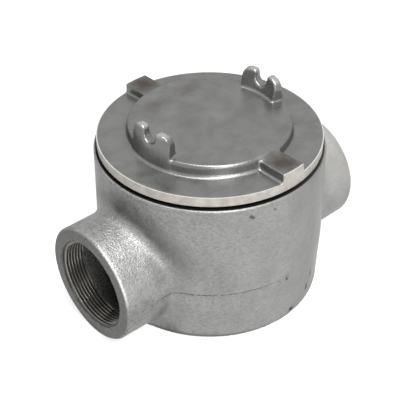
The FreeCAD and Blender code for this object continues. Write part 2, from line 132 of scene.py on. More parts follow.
def from_hub_axis(point):
    """Distance of a point from the common axis of the two hubs."""
    return math.hypot(point.y, point.z - hub_axis)


def wall_radius(height):
    """Outside radius of the wall at a height: it draws in above and below the hub axis."""
    if height > hub_axis:
        return shell_radius - top_draft * (height - hub_axis) / (body_top - hub_axis)
    return shell_radius - base_draft * (hub_axis - height) / hub_axis


def is_cast_skin(point):
    """1 on the outer cast walls, 0 on the base, the mouths and inside, less and less towards the top."""
    on_shell = from_axis(point) > wall_radius(point.z) - skin_margin
    beyond_shell = shell_radius < abs(point.x) < hub_mouth - skin_margin
    on_hub = beyond_shell and from_hub_axis(point) > hub_skin_radius
    if (on_shell or on_hub) and point.z > skin_margin:
        return max(0.0, min(1.0, (top_face - point.z) / skin_margin - 1.0))
    return 0.0


def dress_mouth(point):
    """Bring a point near a hub's end on to its flat face, its rounded edge or its outer wall."""
    spread = from_hub_axis(point)
    end = abs(point.x) - (hub_mouth - hub_edge)
    out = spread - (hub_radius - hub_edge)
    new_end, new_out = end, out
    if end > 0 and out > 0:
        new_end = end * hub_edge / math.hypot(end, out)
        new_out = out * hub_edge / math.hypot(end, out)
    elif end > 0:
        new_end = hub_edge
    elif out > 0:
        new_out = out + (hub_edge - out) * (1 + end / (dressed_length - hub_edge))
    grow = (new_out + hub_radius - hub_edge) / spread
    point.x = math.copysign(new_end + hub_mouth - hub_edge, point.x)
    point.y *= grow
    point.z = hub_axis + (point.z - hub_axis) * grow


body = casting_of("box_body", "body_casting", body_skin_step)
skin_group = weigh(body, "cast_skin", is_cast_skin)
ripple(body, skin_group, long_wave, long_height)
ripple(body, skin_group, short_wave, short_height)
for vertex in body.data.vertices:
    vertex.co.y = max(-shell_radius, min(shell_radius, vertex.co.y))
    if abs(vertex.co.x) > hub_mouth - dressed_length and from_hub_axis(vertex.co) > dressed_from:
        dress_mouth(vertex.co)

# The parting line is a fine ragged groove on one side of each hub. It starts close to the hub's root and
# fades out along the wall.
parting_height = hub_axis - 0.6 * mm
groove_radius = 0.42 * mm
groove_from_axis = 71.0 * mm
groove_fade = 24.0 * mm
groove_end = 81.0 * mm
groove_run_out = 9.0 * mm
groove_least, groove_mean, groove_swing = 0.12, 0.75, 0.25
groove_weld = 0.005 * mm
ragged_along, ragged_across = 1.7 * mm, 2.3 * mm

groove = bpy.data.objects.new("parting_groove", body.data.copy())
bpy.context.collection.objects.link(groove)
pick(groove)
bpy.ops.object.mode_set(mode="EDIT")
bpy.ops.mesh.select_all(action="SELECT")
bpy.ops.mesh.bisect(
    plane_co=(0, 0, parting_height), plane_no=(0, 0, 1), clear_inner=True, clear_outer=True)
bpy.ops.mesh.select_all(action="DESELECT")
bpy.ops.object.mode_set(mode="OBJECT")
for vertex in groove.data.vertices:
    inside = from_axis(vertex.co) < groove_from_axis or abs(vertex.co.y) < hub_skin_radius
    other_side = vertex.co.x * vertex.co.y < 0
    vertex.select = inside or other_side or abs(vertex.co.x) > groove_end
bpy.ops.object.mode_set(mode="EDIT")
bpy.ops.mesh.delete(type="VERT")
bpy.ops.object.mode_set(mode="OBJECT")
bpy.ops.object.convert(target="CURVE")
groove.data.bevel_depth = groove_radius
groove.data.bevel_resolution = 1
groove.data.use_fill_caps = True
for spline in groove.data.splines:
    for point in spline.points:
        from_middle = abs(point.co.x)
        ragged = math.sin(point.co.x / ragged_along) * math.sin(point.co.y / ragged_across)
        near_hub = min(1.0, from_middle / groove_fade, (groove_end - from_middle) / groove_run_out)
        point.radius = max(groove_least, (groove_mean + groove_swing * ragged) * near_hub)
bpy.ops.object.convert(target="MESH")
bpy.ops.object.mode_set(mode="EDIT")
bpy.ops.mesh.select_all(action="SELECT")
bpy.ops.mesh.remove_doubles(threshold=groove_weld)
bpy.ops.mesh.normals_make_consistent(inside=False)
bpy.ops.object.mode_set(mode="OBJECT")


def machine(piece, tool, operation):
    """Cut or add a tool's form and put the tool away."""
    finish_with(piece, "BOOLEAN", object=tool, operation=operation, solver="MANIFOLD")
    bpy.data.objects.remove(tool)


machine(body, groove, "DIFFERENCE")

# Each blow hole is given as its turn round the box in degrees, its height, width and length, and its soot.
# The ones that show are listed one by one, and finer ones are strewn over the wall without soot.
highlight_mark = 0.5
blow_holes = [
    (-112.4, 98.4 * mm, 0.7 * mm, 0.9 * mm, 0.8),
    (-111.2, 97.2 * mm, 0.6 * mm, 0.6 * mm, 0.8),
    (-100.3, 98.8 * mm, 0.6 * mm, 0.6 * mm, 0.6),
    (-90.5, 37.4 * mm, 0.9 * mm, 1.3 * mm, highlight_mark),
    (-95.7, 36.8 * mm, 0.8 * mm, 1.1 * mm, highlight_mark),
    (-71.4, 12.5 * mm, 1.0 * mm, 2.4 * mm, 0.8),
    (-67.8, 20.5 * mm, 0.8 * mm, 2.2 * mm, 0.8),
    (-85.0, 5.0 * mm, 1.4 * mm, 1.2 * mm, 0.9)]
strewn_holes = 26
strewn_widths_mm = (0.3, 0.55)
strewn_heights_mm = (8, 96)
strewn_stretch = (0.8, 1.8)
lumps_per_hole = 4
lump_shift = 0.6
lump_sizes = (0.45, 0.8)
hole_skin_step = 0.25 * mm
draw = random.Random(11)
for hole in range(strewn_holes):
    width = draw.uniform(*strewn_widths_mm) * mm
    place = (draw.uniform(-180, 180), draw.uniform(*strewn_heights_mm) * mm)
    blow_holes.append((*place, width, width * draw.uniform(*strewn_stretch), 0.0))


def wall_point(turn, height):
    """Point on the outer wall at a turn in degrees and a height."""
    reach = wall_radius(height)
    return Vector((reach * math.cos(math.radians(turn)), reach * math.sin(math.radians(turn)), height))


def draw_shift():
    """One random shift of a lump, as a share of its hole."""
    return draw.uniform(-lump_shift, lump_shift)


lumps = []
for turn, height, width, length, soot_share in blow_holes:
    place = wall_point(turn, height)
    if from_hub_axis(place) < hub_radius + 2 * skin_margin:
        continue
    for lump in range(lumps_per_hole):
        shift = Vector((draw_shift(), draw_shift(), 0)) * width
        shift.z = draw_shift() * length
        bpy.ops.mesh.primitive_ico_sphere_add(
            subdivisions=2, radius=draw.uniform(*lump_sizes), location=place + shift,
            scale=(width, width, length))
        lumps.append(bpy.context.object)
bpy.ops.object.select_all(action="DESELECT")
for lump in lumps:
    lump.select_set(True)
bpy.ops.object.join()
sand_holes = bpy.context.object
bpy.ops.object.transform_apply(location=True, rotation=True, scale=True)
finish_with(sand_holes, "REMESH", mode="VOXEL", voxel_size=hole_skin_step)
machine(body, sand_holes, "DIFFERENCE")

# Both mouths are bushed up to size, then chamfered and tapped with a taper pipe thread for rigid conduit.
inch = 25.4 * mm
pipe_threads_per_inch = 11.5
pipe_pitch = inch / pipe_threads_per_inch
pipe_taper = 1 / 32
pipe_depth = 17.0 * mm
pipe_radius = hub_mount["dims"]["r_mm"] * mm
pipe_tooth = 0.86 * mm
mouth_chamfer = 1.5 * mm
mouth_radius = pipe_radius + mouth_chamfer
run_past = 1.0 * mm
rings_per_turn = 8
thread_sides = 144
flank_slope = 1.5


def threaded_rod(name, length, pitch, radius_at):
    """Solid rod up from the origin, ring by ring, whose radius follows from the turn and the height."""
    bpy.ops.object.select_all(action="DESELECT")
    bpy.ops.mesh.primitive_circle_add(vertices=thread_sides, radius=1.0, fill_type="NGON")
    rod = bpy.context.object
    rod.name = name
    rings = round(length / pitch * rings_per_turn)
    bpy.ops.object.mode_set(mode="EDIT")
    bpy.ops.mesh.select_all(action="SELECT")
    for ring in range(rings):
        bpy.ops.mesh.extrude_region_move(TRANSFORM_OT_translate={"value": (0, 0, length / rings)})
    bpy.ops.mesh.select_all(action="SELECT")
    bpy.ops.mesh.normals_make_consistent(inside=False)
    bpy.ops.object.mode_set(mode="OBJECT")
    for vertex in rod.data.vertices:
        turn = math.atan2(vertex.co.y, vertex.co.x)
        reach = radius_at(turn, vertex.co.z)
        vertex.co.x = reach * math.cos(turn)
        vertex.co.y = reach * math.sin(turn)
    return rod


def set_at(tool, place, turned=(0, 0, 0)):
    """Bring a tool to its place and turn, and keep both in its mesh."""
    pick(tool)
    tool.location = place
    tool.rotation_euler = turned
    bpy.ops.object.transform_apply(location=True, rotation=True, scale=True)
    return tool


def plain_rod(radius, length, middle, turned=(0, 0, 0)):
    """Smooth round rod about its middle."""
    bpy.ops.object.select_all(action="DESELECT")
    bpy.ops.mesh.primitive_cylinder_add(vertices=thread_sides, radius=radius, depth=length)
    return set_at(bpy.context.object, middle, turned)


def tooth_wave(turn, height, pitch):
    """Flank-and-flat wave of a right-hand thread, from -1 in the roots to 1 on the crests."""
    phase = (height / pitch - turn / (2 * math.pi)) % 1.0
    return max(-1.0, min(1.0, flank_slope * (4 * abs(phase - 0.5) - 1)))


def pipe_tap_radius(turn, height):
    """Radius of the pipe tap at a height above its inner end."""
    depth = pipe_depth - height
    run_out = min(1.0, height / pipe_pitch)
    tooth = pipe_tooth * run_out * tooth_wave(turn, height, pipe_pitch)
    return max(pipe_radius + pipe_taper * (pipe_depth / 2 - depth) + tooth, mouth_radius - depth)


for side in (-1, 1):
    turned = (0, side * math.pi / 2, 0)
    bush_middle = (side * (hub_mouth - pipe_depth / 2), 0, hub_axis)
    bush = plain_rod(pipe_radius + pipe_tooth, pipe_depth - 2 * run_past, bush_middle, turned)
    machine(body, bush, "UNION")
    tap = threaded_rod("pipe_tap", pipe_depth + run_past, pipe_pitch, pipe_tap_radius)
    machine(body, set_at(tap, (side * (hub_mouth - pipe_depth), 0, hub_axis), turned), "DIFFERENCE")

# The top is turned flat with a rounded edge, stepped for the seal and tapped for the cover, at the pitch
# that couples the cover's turn to its lift.
lift = record["behaviour"]["couplings"][0]["ratio"]
cover_pitch = 2 * math.pi * lift
seal_low, seal_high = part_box("cover_o_ring")
seal_clear = 0.3 * mm
step_spare = 0.03 * mm
step_floor = seal_low.z - seal_clear
step_radius = seal_high.x + seal_clear + step_spare
bore_radius = 64.25 * mm
bore_tooth = 0.5 * mm
bore_bottom = 86.4 * mm
bush_radius = 70.0 * mm
top_edge = 1.2 * mm
turned_from = top_face - 3.2 * mm
facing_floor = turned_from + run_past / 2
hidden_cut = 0.15 * mm
smooth_angle = math.radians(35)


def turned_top_radius(turn, height):
    """Outside radius of the bush for the top: within the casting, then the wall and its rounded edge."""
    place = bore_bottom + height
    if place < turned_from:
        return bush_radius
    into_edge = min(top_edge, max(0.0, place - top_face + top_edge))
    outside = wall_radius(place) if place > facing_floor else wall_radius(place) - hidden_cut
    return outside - top_edge + math.sqrt(top_edge ** 2 - into_edge ** 2)


def cover_tap_radius(turn, height):
    """Radius of the tap for the cover thread, widened to the seal step at its top."""
    if bore_bottom - run_past / 2 + height > step_floor:
        return step_radius
    return bore_radius + bore_tooth * tooth_wave(turn, height, cover_pitch)


bush_length = top_face - bore_bottom
facing_length = body_top - facing_floor + run_past
facing_middle = (0, 0, facing_floor + facing_length / 2)
machine(body, plain_rod(shell_radius + run_past, facing_length, facing_middle), "DIFFERENCE")
bush = threaded_rod("turned_top", bush_length, cover_pitch, turned_top_radius)
machine(body, set_at(bush, (0, 0, bore_bottom)), "UNION")
tap = threaded_rod("cover_tap", bush_length + run_past, cover_pitch, cover_tap_radius)
machine(body, set_at(tap, (0, 0, bore_bottom - run_past / 2)), "DIFFERENCE")

pick(body)
bpy.ops.object.shade_smooth_by_angle(angle=smooth_angle)
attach(body, "box")
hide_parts("box_body")

# The plating is a soft grey that drifts in tone over a pecked skin, darker in the holes, and darker inside,
# partly as painted shade.
# A name with ends in it holds where a change starts and where it stops, then the shares at both if they
# aren't 0 and 1. A zone holds the same, after the axis that the change runs along.
tone_detail, tone_ends = 6.0, (0.3, 0.7)
grain_detail = 3.0
roughness_drift = 0.06
sheen_tint = (0.5, 0.5, 0.5, 1)
noise_roughness = 0.6
blot_parts, blot_detail = 3, 4.0
blot_core, blot_edge = 0.7, 1.5


def add_node(tree, kind, links=None, **inputs):
    """Shader node with these input values, and with these input sockets linked."""
    node = tree.nodes.new(kind)
    for name, value in inputs.items():
        node.inputs[name.replace("_", " ")].default_value = value
    for name, socket in (links or {}).items():
        tree.links.new(socket, node.inputs[name])
    return node


def work_out(tree, operation, *terms):
    """Socket with the result of a sum on these sockets and numbers."""
    node = tree.nodes.new("ShaderNodeMath")
    node.operation = operation
    for socket, term in zip(node.inputs, terms):
        if isinstance(term, bpy.types.NodeSocket):
            tree.links.new(term, socket)
        else:
            socket.default_value = term
    return node.outputs[0]


def product(tree, first, *others):
    """Socket with these sockets and numbers multiplied together."""
    for other in others:
        first = work_out(tree, "MULTIPLY", first, other)
    return first


def climb(tree, value, start, end, low=0.0, high=1.0):
    """Socket that goes from low to high as a value goes from start to end."""
    span = add_node(
        tree, "ShaderNodeMapRange", {"Value": value}, From_Min=start, From_Max=end, To_Min=low, To_Max=high)
    return span.outputs["Result"]


def own_place(tree):
    """Socket with the place of a point on the piece."""
    return add_node(tree, "ShaderNodeTexCoord").outputs["Object"]


def along(tree, axis):
    """Socket with a point's distance along one axis."""
    return add_node(tree, "ShaderNodeSeparateXYZ", {"Vector": own_place(tree)}).outputs[axis]


def where(tree, *zones):
    """Socket with the share that all these zones together leave at a point."""
    return product(tree, *(climb(tree, along(tree, axis), *ends) for axis, *ends in zones))


def reach_of(tree, one_way, other_way):
    """Socket with the distance from an axis, from the distances along the two other axes."""
    flat = add_node(tree, "ShaderNodeCombineXYZ", {"X": one_way, "Y": other_way})
    away = add_node(tree, "ShaderNodeVectorMath", {0: flat.outputs["Vector"]})
    away.operation = "LENGTH"
    return away.outputs["Value"]


def spread_of(tree):
    """Socket with a point's distance from the common axis of the two hubs."""
    return reach_of(tree, along(tree, "Y"), work_out(tree, "SUBTRACT", along(tree, "Z"), hub_axis))


def clouds(tree, size, detail, stretch=(1, 1, 1)):
    """Socket with soft noise of this size, drawn out along the axes by these factors."""
    drawn = add_node(tree, "ShaderNodeMapping", {"Vector": own_place(tree)})
    drawn.inputs["Scale"].default_value = [1 / (size * factor) for factor in stretch]
    noise = add_node(tree, "ShaderNodeTexNoise", {"Vector": drawn.outputs["Vector"]},
                     Scale=1.0, Detail=detail, Roughness=noise_roughness)
    return noise.outputs["Fac"]


def tint(material, colour, share):
    """Lay a colour over a material's own, by a share from 0 to 1."""
    tree = material.node_tree
    shader = tree.nodes["Principled BSDF"]
    under = shader.inputs["Base Color"].links[0].from_socket
    mix = add_node(tree, "ShaderNodeMixRGB", {"Fac": share, "Color1": under})
    mix.inputs["Color2"].default_value = (*colour, 1)
    tree.links.new(mix.outputs["Color"], shader.inputs["Base Color"])


def emboss(material, height, depth):
    """Raise and sink a material by a height from 0 to 1, over what is on it already."""
    tree = material.node_tree
    shader = tree.nodes["Principled BSDF"]
    bump = add_node(tree, "ShaderNodeBump", {"Height": height}, Strength=1.0, Distance=depth)
    if shader.inputs["Normal"].links:
        tree.links.new(shader.inputs["Normal"].links[0].from_socket, bump.inputs["Normal"])
    tree.links.new(bump.outputs["Normal"], shader.inputs["Normal"])


def drifting_finish(name, dark, light, patch_size, grain_size, grain_depth, metallic, roughness):
    """Finish whose tone drifts between two colours, with a grain of this size and depth."""
    material = bpy.data.materials.new(name)
    material.use_nodes = True
    tree = material.node_tree
    shader = tree.nodes["Principled BSDF"]
    tone = clouds(tree, patch_size, tone_detail)
    ramp = add_node(tree, "ShaderNodeValToRGB", {"Fac": tone})
    for element, position, colour in zip(ramp.color_ramp.elements, tone_ends, (dark, light)):
        element.position = position
        element.color = (*colour, 1)
    tree.links.new(ramp.outputs["Color"], shader.inputs["Base Color"])
    worn = climb(tree, tone, *tone_ends, roughness - roughness_drift, roughness + roughness_drift)
    tree.links.new(worn, shader.inputs["Roughness"])
    shader.inputs["Metallic"].default_value = metallic
    shader.inputs["Specular Tint"].default_value = sheen_tint
    emboss(material, clouds(tree, grain_size, grain_detail), grain_depth)
    return material


def blot(material, spot, reach, colour, strength, squash=(1, 1, 1)):
    """Tint a material round a spot, with a ragged edge; squash counts distance more along an axis."""
    tree = material.node_tree
    apart = add_node(tree, "ShaderNodeVectorMath", {0: own_place(tree)})
    apart.operation = "SUBTRACT"
    apart.inputs[1].default_value = spot
    scaled = add_node(tree, "ShaderNodeVectorMath", {0: apart.outputs["Vector"]})
    scaled.operation = "MULTIPLY"
    scaled.inputs[1].default_value = squash
    away = add_node(tree, "ShaderNodeVectorMath", {0: scaled.outputs["Vector"]})
    away.operation = "LENGTH"
    rough_edge = clouds(tree, reach / blot_parts, blot_detail)
    ragged = work_out(tree, "MULTIPLY_ADD", rough_edge, reach, away.outputs["Value"])
    tint(material, colour, climb(tree, ragged, blot_core * reach, blot_edge * reach, strength, 0.0))


def paint(piece, material, wanted):
    """Give a material to the faces whose middle and normal are wanted."""
    piece.data.materials.append(material)
    slot = len(piece.data.materials) - 1
    for face in piece.data.polygons:
        if wanted(face.center, face.normal):
            face.material_index = slot


# This near black is soot in the flecks and blow holes, and painted shade at the parting line, the base and
# the thread roots.
soot_and_shade = (0.05, 0.05, 0.048)
dull_zinc = (0.13, 0.13, 0.126)
cast_zinc = drifting_finish(
    "cast_zinc", dark=(0.26, 0.26, 0.253), light=(0.355, 0.355, 0.347), patch_size=24 * mm,
    grain_size=0.9 * mm, grain_depth=0.08 * mm, metallic=0.45, roughness=0.34)
tree = cast_zinc.node_tree

# Sand pecks roughen the left hub and thin out along the wall, and the plating is patchy over them.
peck_size, peck_detail, peck_depth = 1.4 * mm, 3.0, 0.6 * mm
pecked_zone = ("X", -62 * mm, -80 * mm, 0.3, 1.0)
hollow_zinc, hollow_ends, hollow_share = (0.10, 0.10, 0.097), (0.52, 0.34), 0.5
patch_size, patch_detail, patch_ends = 6 * mm, 3.0, (0.62, 0.36, 0.0, 0.42)
patched_zone = ("X", -66 * mm, -80 * mm, 0.15, 1.0)
pecks = clouds(tree, peck_size, peck_detail)
pecking = where(tree, pecked_zone)
tint(cast_zinc, hollow_zinc, product(tree, climb(tree, pecks, *hollow_ends), pecking, hollow_share))
patches = climb(tree, clouds(tree, patch_size, patch_detail), *patch_ends)
tint(cast_zinc, dull_zinc, product(tree, patches, where(tree, patched_zone)))

# A painted highlight lightens the upper front of that hub.
hub_highlight = (0.6, 0.6, 0.585)
hub_highlight_zones = (("Z", 44 * mm, 58 * mm, 0.0, 0.17), ("Y", 0.0, -16 * mm), ("X", -72 * mm, -80 * mm))
tint(cast_zinc, hub_highlight, where(tree, *hub_highlight_zones))
emboss(cast_zinc, product(tree, pecks, pecking), peck_depth)

# The wall is finely mottled and streaked level with the mould, and soot flecks lie low on the left hub.
mottle_size, mottle_detail, mottle_stretch = 1.5 * mm, 4.0, (1.6, 1.6, 1)
mottle_ends = (0.54, 0.36, 0.0, 0.4)
mottled_zones = (("X", 20 * mm, -50 * mm, 0.25, 1.0), ("X", -78 * mm, -66 * mm))
fleck_size, fleck_detail, fleck_ends = 3.4 * mm, 2.0, (0.6, 0.68, 0.0, 0.6)
flecked_zones = (("X", -70 * mm, -78 * mm), ("Z", 54 * mm, 38 * mm))
streak_size, streak_detail, streak_stretch = 1.0 * mm, 3.0, (2.5, 2.5, 1)
streak_ends, streak_depth, streak_zinc = (0.5, 0.32), 0.16 * mm, (0.17, 0.17, 0.165)
streaked_zones = (("X", 20 * mm, -55 * mm, 0.1, 0.3), ("X", -74 * mm, -64 * mm))
mottles = climb(tree, clouds(tree, mottle_size, mottle_detail, mottle_stretch), *mottle_ends)
tint(cast_zinc, dull_zinc, product(tree, mottles, where(tree, *mottled_zones)))
flecks = climb(tree, clouds(tree, fleck_size, fleck_detail), *fleck_ends)
tint(cast_zinc, soot_and_shade, product(tree, flecks, where(tree, *flecked_zones)))
streaks = clouds(tree, streak_size, streak_detail, streak_stretch)
streaking = where(tree, *streaked_zones)
tint(cast_zinc, streak_zinc, product(tree, climb(tree, streaks, *streak_ends), streaking))
emboss(cast_zinc, product(tree, streaks, streaking), streak_depth)

# A painted highlight runs along the upper front edge of each mouth, and painted shade darkens the faces of
# the mouths unevenly.
edge_highlight = (0.72, 0.72, 0.7)
edge_start_ends = (hub_mouth - 1.9 * mm, hub_mouth - 1.2 * mm)
edge_stop_ends = (hub_mouth - 0.7 * mm, hub_mouth - 0.35 * mm, 1.0, 0.0)
edge_highlight_zones = (("Z", 44 * mm, 56 * mm, 0.0, 0.75), ("Y", -8 * mm, -18 * mm))
face_shade = (0.09, 0.09, 0.086)
face_start_ends = (hub_mouth - 0.4 * mm, hub_mouth - 0.05 * mm)
face_size, face_detail, face_ends = 1.2 * mm, 3.0, (0.35, 0.65, 0.55, 1.0)
sideways = work_out(tree, "ABSOLUTE", along(tree, "X"))
edge_band = product(tree, climb(tree, sideways, *edge_start_ends), climb(tree, sideways, *edge_stop_ends))
tint(cast_zinc, edge_highlight, product(tree, edge_band, where(tree, *edge_highlight_zones)))
uneven = climb(tree, clouds(tree, face_size, face_detail), *face_ends)
# Painted shade, uneven, on the flat faces of both mouths.
tint(cast_zinc, face_shade, product(tree, climb(tree, sideways, *face_start_ends), uneven))

# Painted shade: the turned top under the cover's flange is painted matt black up to its rounded edge, and
# loses its gloss.
gap_shade_colour = (0.006, 0.006, 0.006)
gap_shading_ends = (73.6 * mm, 74.2 * mm, 0.97, 0.0)
gap_shading_zone = ("Z", top_face - 0.7 * mm, top_face - 0.3 * mm)
gap_gloss_ends = (0.0, 0.9, 0.5, 0.0)
across = reach_of(tree, along(tree, "X"), along(tree, "Y"))
gap_shading = product(tree, climb(tree, across, *gap_shading_ends), where(tree, gap_shading_zone))
tint(cast_zinc, gap_shade_colour, gap_shading)
gap_gloss = climb(tree, gap_shading, *gap_gloss_ends)
tree.links.new(gap_gloss, tree.nodes["Principled BSDF"].inputs["Specular IOR Level"])

# Painted shade darkens the upper root of the left hub, and the right of the wall a little.
root_shade = (0.10, 0.10, 0.096)
root_size, root_detail, root_swing = 9 * mm, 4.0, 8 * mm
root_start_ends = (47 * mm, 51 * mm)
root_stop_ends = (54 * mm, 66 * mm, 1.0, 0.0)
root_zones = (("X", -50 * mm, -58 * mm), ("Z", 48 * mm, 66 * mm, 0.0, 0.5))
right_shade = (0.12, 0.12, 0.116)
right_shade_zones = (("X", -10 * mm, 20 * mm, 0.0, 0.3), ("X", 62 * mm, 72 * mm, 1.0, 0.0))
ragged_spread = work_out(
    tree, "MULTIPLY_ADD", clouds(tree, root_size, root_detail), root_swing, spread_of(tree))
root_start = climb(tree, ragged_spread, *root_start_ends)
root_stop = climb(tree, ragged_spread, *root_stop_ends)
tint(cast_zinc, root_shade, product(tree, root_start, root_stop, where(tree, *root_zones)))
# Painted shade darkens the right of the wall.
tint(cast_zinc, right_shade, where(tree, *right_shade_zones))

# Painted shade darkens the parting line where its groove runs.
line_size, line_detail, line_swing = 2.0 * mm, 3.0, 1.6 * mm
line_ends = (0.8 * mm, 1.4 * mm, 0.75, 0.0)
line_fade_ends = (4 * mm, groove_fade)
line_stop_ends = (72 * mm, 79 * mm, 1.0, 0.0)
off_line = work_out(tree, "ABSOLUTE", work_out(tree, "SUBTRACT", along(tree, "Z"), parting_height))
ragged_line = work_out(tree, "MULTIPLY_ADD", clouds(tree, line_size, line_detail), line_swing, off_line)
line_run = product(tree, climb(tree, sideways, *line_fade_ends), climb(tree, sideways, *line_stop_ends))
lined_side = work_out(tree, "GREATER_THAN", product(tree, along(tree, "X"), along(tree, "Y")), 0.0)
tint(cast_zinc, soot_and_shade, product(tree, climb(tree, ragged_line, *line_ends), line_run, lined_side))

# Blots of painted shade lie over the left hub and by its mouth, a painted highlight makes the right hub
# paler on top, and painted shade darkens the base, most near the left hub.
shade_blot_colour = (0.10, 0.10, 0.095)
over_hub_shade = ((-75.2 * mm, 0, 90 * mm), 12 * mm, shade_blot_colour, 0.7)
over_mouth_shade = ((-92 * mm, 24 * mm, 71 * mm), 14 * mm, shade_blot_colour, 0.5)
far_hub_highlight = (0.55, 0.535, 0.51)
far_hub_highlight_zones = (("X", 74 * mm, 82 * mm), ("Z", 36 * mm, 58 * mm, 0.0, 0.3))
base_slope, base_ends = 0.03, (0.2 * mm, 3.2 * mm, 0.9, 0.0)
base_shadow_blot = ((-66 * mm, -36 * mm, 2 * mm), 10 * mm, soot_and_shade, 0.6)
blot(cast_zinc, *over_hub_shade)
blot(cast_zinc, *over_mouth_shade)
# Painted highlight on top of the right hub.
tint(cast_zinc, far_hub_highlight, where(tree, *far_hub_highlight_zones))
# Painted shade along the base, and a painted shadow by the left hub.
base_height = work_out(tree, "MULTIPLY_ADD", along(tree, "X"), base_slope, along(tree, "Z"))
tint(cast_zinc, soot_and_shade, climb(tree, base_height, *base_ends))
blot(cast_zinc, *base_shadow_blot)

# Soot sits in the larger blow holes, and two of them have a painted highlight in the middle.
stain_to_width = 2.6
highlight_to_width, hole_highlight, highlight_share = 1.2, (0.7, 0.7, 0.68), 0.9
for turn, height, width, length, soot_share in blow_holes:
    place = wall_point(turn, height)
    if soot_share > 0:
        blot(cast_zinc, place, stain_to_width * width, soot_and_shade, soot_share, (1, 1, width / length))
    if soot_share == highlight_mark:
        blot(cast_zinc, place, highlight_to_width * width, hole_highlight, highlight_share)

# Inside, the bare casting is dark and coarse, with painted shade making it darker still. The threads are
# # cut metal, with painted shade in the roots of those in the hubs.
inner_iron_and_shade = drifting_finish(
    "inner_iron_and_shade", dark=(0.025, 0.025, 0.024), light=(0.22, 0.22, 0.21), patch_size=1.5 * mm,
    grain_size=1.0 * mm, grain_depth=0.35 * mm, metallic=0.2, roughness=0.55)
cut_thread = drifting_finish(
    "cut_thread", dark=(0.22, 0.21, 0.187), light=(0.34, 0.325, 0.295), patch_size=4 * mm,
    grain_size=0.4 * mm, grain_depth=0.04 * mm, metallic=0.6, roughness=0.36)
tree = cut_thread.node_tree
thread_root_ends = (pipe_radius - 0.4 * mm, pipe_radius + 0.5 * mm, 0.0, 0.9)
below_cover = work_out(tree, "LESS_THAN", along(tree, "Z"), bore_bottom - run_past)
# Painted shade in the roots of the hub threads.
tint(cut_thread, soot_and_shade, product(tree, climb(tree, spread_of(tree), *thread_root_ends), below_cover))
chamber_reach = 68.5 * mm
throat_reach = 29.3 * mm
thread_end = hub_mouth - pipe_depth + run_past
thread_reach = mouth_radius - 0.1 * mm


def is_inside(point, normal):
    """True in the chamber and in the throats behind the hub threads."""
    in_chamber = from_axis(point) < chamber_reach and skin_margin < point.z < step_floor
    in_throat = from_hub_axis(point) < throat_reach and abs(point.x) < thread_end
    return in_chamber or in_throat


def is_cut(point, normal):
    """True on the hub threads and on the thread for the cover."""
    in_hub = abs(point.x) > thread_end and from_hub_axis(point) < thread_reach
    in_top = bore_bottom < point.z < top_face - run_past / 4 and from_axis(point) < step_radius
    return in_hub or in_top


body.data.materials.clear()
body.data.materials.append(cast_zinc)
paint(body, inner_iron_and_shade, is_inside)
paint(body, cut_thread, is_cut)

# Grounding screw: a slotted hexagon washer-head screw in the floor boss, dyed green over zinc.
# It stays the solid's own form, and the dye thins to bare metal in patches.
green_zinc = drifting_finish(
    "green_zinc", dark=(0.03, 0.20, 0.07), light=(0.06, 0.30, 0.12), patch_size=3 * mm,
    grain_size=0.3 * mm, grain_depth=0.02 * mm, metallic=0.7, roughness=0.35)
frame["nodes"]["ground_screw"].material_slots[0].material = green_zinc

# Seal: a black rubber ring round the neck of the plug, pressed between the flange and the step.
# Its skin is smooth, with a little dust.
seal_rubber = drifting_finish(
    "seal_rubber", dark=(0.012, 0.012, 0.012), light=(0.03, 0.03, 0.029), patch_size=4 * mm,
    grain_size=0.3 * mm, grain_depth=0.02 * mm, metallic=0.0, roughness=0.55)
frame["nodes"]["cover_o_ring"].material_slots[0].material = seal_rubber

# Screw cover: an iron casting with a boss, two pairs of wrench lugs and two rim pads.
# It is cast with stock on the rim, which is turned off bright, and the hollow plug below is threaded
# to screw into the top of the box.
cover_low, cover_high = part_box("screw_cover")
cover_clock = math.radians(2.5)
cover_skin_step = 0.68 * mm
rim_radius = cover_high.x
rim_left = 0.25 * mm
rim_stock = 1.0 * mm
stock_start = rim_radius - 0.9 * mm
flange_bottom = seal_high.z + seal_clear
flange_top = 113.4 * mm
foot_round = 2.6 * mm
toe_start = 56.0 * mm
toe_width = 11.0 * mm
toe_height = 0.5 * mm
plug_bottom = cover_low.z
plug_length = flange_bottom - plug_bottom
neck_start = step_floor - 0.2 * mm - plug_bottom
neck_radius = 62.6 * mm
plug_radius = 63.1 * mm
plug_tooth = 0.5 * mm
plug_lead = 1.2 * mm
core_radius = 55.0 * mm
ceiling_radius = 44.5 * mm
ceiling_height = 112.8 * mm
tool_reach = 80.0 * mm


def toe_rise(point):
    """How far the foot of the boss, which runs out gently on to the flange, lifts a point of the skin."""
    above = point.z - flange_top
    if above < -seal_clear or above > foot_round or from_axis(point) < toe_start - foot_round:
        return 0.0
    out = min(1.0, max(0.0, from_axis(point) - toe_start) / toe_width)
    return toe_height * (1 - out) ** 2 * (1 - max(0.0, above) / foot_round)


cover = casting_of("screw_cover", "cover_casting", cover_skin_step)
for vertex in cover.data.vertices:
    reach = from_axis(vertex.co)
    vertex.co.z += toe_rise(vertex.co)
    if vertex.co.z < flange_bottom + cover_skin_step and reach > plug_radius:
        vertex.co.z -= 2 * cover_skin_step
    if reach > stock_start:
        vertex.co.x *= (rim_radius + rim_stock) / reach
        vertex.co.y *= (rim_radius + rim_stock) / reach
under_length = flange_bottom - plug_bottom + 2 * run_past
under_cut = plain_rod(tool_reach, under_length, (0, 0, flange_bottom - under_length / 2))
machine(cover, under_cut, "DIFFERENCE")
turning_height = cover_high.z - flange_bottom + 2 * run_past
turning = plain_rod(tool_reach, turning_height, (0, 0, flange_bottom - run_past + turning_height / 2))
kept_round = plain_rod(rim_radius + rim_left, 2 * turning_height, (0, 0, flange_bottom))
machine(turning, kept_round, "DIFFERENCE")
machine(cover, turning, "DIFFERENCE")


